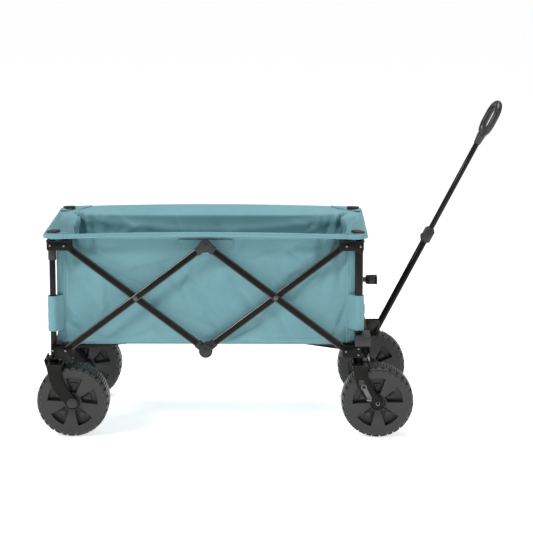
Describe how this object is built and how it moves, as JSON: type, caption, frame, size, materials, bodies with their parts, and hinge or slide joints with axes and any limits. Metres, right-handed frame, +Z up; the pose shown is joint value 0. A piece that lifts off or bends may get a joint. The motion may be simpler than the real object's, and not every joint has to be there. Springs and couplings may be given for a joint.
{
  "type": "folding wagon",
  "caption": "Folding utility wagon with fabric tub, crossed side bars, telescoping corner posts, swivel front casters with brakes and a telescoping pull handle",
  "frame": {"origin": "on the ground under the middle of the whole object's bounding box", "axes": "+X runs forward to the pull handle, +Y across the wagon, +Z up"},
  "size_m": [1.3012, 0.5768, 0.9138],
  "materials": {
    "powder_coat": "satin black powder coat",
    "bare_steel": "zinc plated",
    "plastic": "moulded, fine grain",
    "wheel": "moulded, satin",
    "lever": "moulded grey",
    "fabric": "teal woven polyester"
  },
  "bodies": {
    "rear_frame": {"rear_beam": "powder_coat", "rear_bracket_near": "powder_coat", "rear_bracket_far": "powder_coat", "rear_rod_near": "powder_coat", "rear_rod_far": "powder_coat", "rear_fork_near": "powder_coat", "rear_fork_far": "powder_coat", "rear_axle_near": "bare_steel", "rear_axle_far": "bare_steel"},
    "rear_wheel_near": {"rear_wheel_near": "wheel"},
    "rear_wheel_far": {"rear_wheel_far": "wheel"},
    "scissor_b": {"bars_b": "powder_coat", "top_hubs": "plastic", "rear_rivets": "bare_steel"},
    "scissor_a": {"bars_a": "powder_coat", "bottom_hubs": "plastic"},
    "scissor_c": {"bars_c": "powder_coat", "front_rivets": "bare_steel"},
    "scissor_d": {"bars_d": "powder_coat"},
    "rear_top": {"rear_top_brackets": "powder_coat", "rear_posts": "powder_coat", "rear_caps": "plastic", "rear_end_panel": "fabric", "side_panel_near": "fabric", "side_panel_far": "fabric", "floor_panel": "fabric"},
    "front_top": {"front_top_brackets": "powder_coat", "front_posts": "powder_coat", "front_caps": "plastic", "front_end_panel": "fabric", "clip_bar": "powder_coat", "handle_clip": "plastic"},
    "front_frame": {"front_beam": "powder_coat", "beam_housings": "plastic", "front_bracket_near": "powder_coat", "front_bracket_far": "powder_coat", "front_rods": "powder_coat", "handle_bracket": "powder_coat"},
    "rear_brace": {"rear_brace": "powder_coat"},
    "front_brace": {"front_brace": "powder_coat"},
    "caster_near": {"caster_fork_near": "powder_coat", "front_axle_near": "bare_steel"},
    "caster_far": {"caster_fork_far": "powder_coat", "front_axle_far": "bare_steel"},
    "front_wheel_near": {"front_wheel_near": "wheel"},
    "front_wheel_far": {"front_wheel_far": "wheel"},
    "brake_near": {"brake_lever_near": "lever"},
    "brake_far": {"brake_lever_far": "lever"},
    "handle": {"handle_lower": "powder_coat", "handle_collar": "plastic"},
    "lock_button": {"lock_button": "plastic"},
    "handle_top": {"handle_upper": "powder_coat", "grip": "plastic"}
  },
  "joints": [
    {"name": "frame_fold", "type": "hinge", "parent": "rear_frame", "child": "scissor_b", "pos_m": [-0.56861, 0, 0.242], "axis": [0, 1, 0], "range_deg": [-44, 0], "deforming": ["side_panel_near", "side_panel_far", "floor_panel"]},
    {"name": "rear_crossing", "type": "hinge", "parent": "scissor_b", "child": "scissor_a", "pos_m": [-0.37511, 0, 0.389], "axis": [0, 1, 0], "range_deg": [0, 88]},
    {"name": "rear_top_pivot", "type": "hinge", "parent": "scissor_a", "child": "rear_top", "pos_m": [-0.56861, 0, 0.536], "axis": [0, 1, 0], "range_deg": [-44, 0]},
    {"name": "top_hub_pivot", "type": "hinge", "parent": "scissor_b", "child": "scissor_c", "pos_m": [-0.18161, 0, 0.536], "axis": [0, 1, 0], "range_deg": [0, 88]},
    {"name": "front_crossing", "type": "hinge", "parent": "scissor_c", "child": "scissor_d", "pos_m": [0.01189, 0, 0.389], "axis": [0, 1, 0], "range_deg": [-88, 0]},
    {"name": "front_low_pivot", "type": "hinge", "parent": "scissor_c", "child": "front_frame", "pos_m": [0.20539, 0, 0.242], "axis": [0, 1, 0], "range_deg": [-44, 0]},
    {"name": "front_top_pivot", "type": "hinge", "parent": "scissor_d", "child": "front_top", "pos_m": [0.20539, 0, 0.536], "axis": [0, 1, 0], "range_deg": [0, 44]},
    {"name": "rear_brace_fold", "type": "hinge", "parent": "rear_frame", "child": "rear_brace", "pos_m": [-0.56861, 0, 0.24], "axis": [0, 1, 0], "range_deg": [-79, 0]},
    {"name": "front_brace_fold", "type": "hinge", "parent": "front_frame", "child": "front_brace", "pos_m": [0.20539, 0, 0.24], "axis": [0, 1, 0], "range_deg": [0, 79]},
    {"name": "handle_tilt", "type": "hinge", "parent": "front_frame", "child": "handle", "pos_m": [0.29639, 0, 0.247], "axis": [0, -1, 0], "range_deg": [-72, 27.5]},
    {"name": "handle_slide", "type": "slide", "parent": "handle", "child": "handle_top", "axis": [0.4617, 0, 0.887], "range_m": [-0.245, 0]},
    {"name": "lock_button_press", "type": "slide", "parent": "handle", "child": "lock_button", "axis": [-0.887, 0, 0.4617], "range_m": [-0.003, 0], "stiffness_N_per_m": 400},
    {"name": "rear_wheel_near_spin", "type": "hinge", "parent": "rear_frame", "child": "rear_wheel_near", "pos_m": [-0.55061, -0.225, 0.1], "axis": [0, 1, 0], "continuous": true},
    {"name": "caster_near_swivel", "type": "hinge", "parent": "front_frame", "child": "caster_near", "pos_m": [0.24039, -0.225, 0.222], "axis": [0, 0, 1], "continuous": true},
    {"name": "front_wheel_near_spin", "type": "hinge", "parent": "caster_near", "child": "front_wheel_near", "pos_m": [0.29339, -0.225, 0.1], "axis": [0, 1, 0], "continuous": true},
    {"name": "brake_near_press", "type": "hinge", "parent": "caster_near", "child": "brake_near", "pos_m": [0.25439, -0.276, 0.146], "axis": [0, 1, 0], "range_deg": [0, 18]},
    {"name": "rear_wheel_far_spin", "type": "hinge", "parent": "rear_frame", "child": "rear_wheel_far", "pos_m": [-0.55061, 0.225, 0.1], "axis": [0, 1, 0], "continuous": true},
    {"name": "caster_far_swivel", "type": "hinge", "parent": "front_frame", "child": "caster_far", "pos_m": [0.24039, 0.225, 0.222], "axis": [0, 0, 1], "continuous": true},
    {"name": "front_wheel_far_spin", "type": "hinge", "parent": "caster_far", "child": "front_wheel_far", "pos_m": [0.29339, 0.225, 0.1], "axis": [0, 1, 0], "continuous": true},
    {"name": "brake_far_press", "type": "hinge", "parent": "caster_far", "child": "brake_far", "pos_m": [0.25439, 0.276, 0.146], "axis": [0, 1, 0], "range_deg": [0, 18]}
  ],
  "couplings": [
    {"joint": "rear_crossing", "follows": "frame_fold", "ratio": -2},
    {"joint": "rear_top_pivot", "follows": "frame_fold", "ratio": 1},
    {"joint": "top_hub_pivot", "follows": "frame_fold", "ratio": -2},
    {"joint": "front_crossing", "follows": "frame_fold", "ratio": 2},
    {"joint": "front_low_pivot", "follows": "frame_fold", "ratio": 1},
    {"joint": "front_top_pivot", "follows": "frame_fold", "ratio": -1},
    {"joint": "rear_brace_fold", "follows": "frame_fold", "ratio": 1.7944},
    {"joint": "front_brace_fold", "follows": "frame_fold", "ratio": -1.7944}
  ]
}
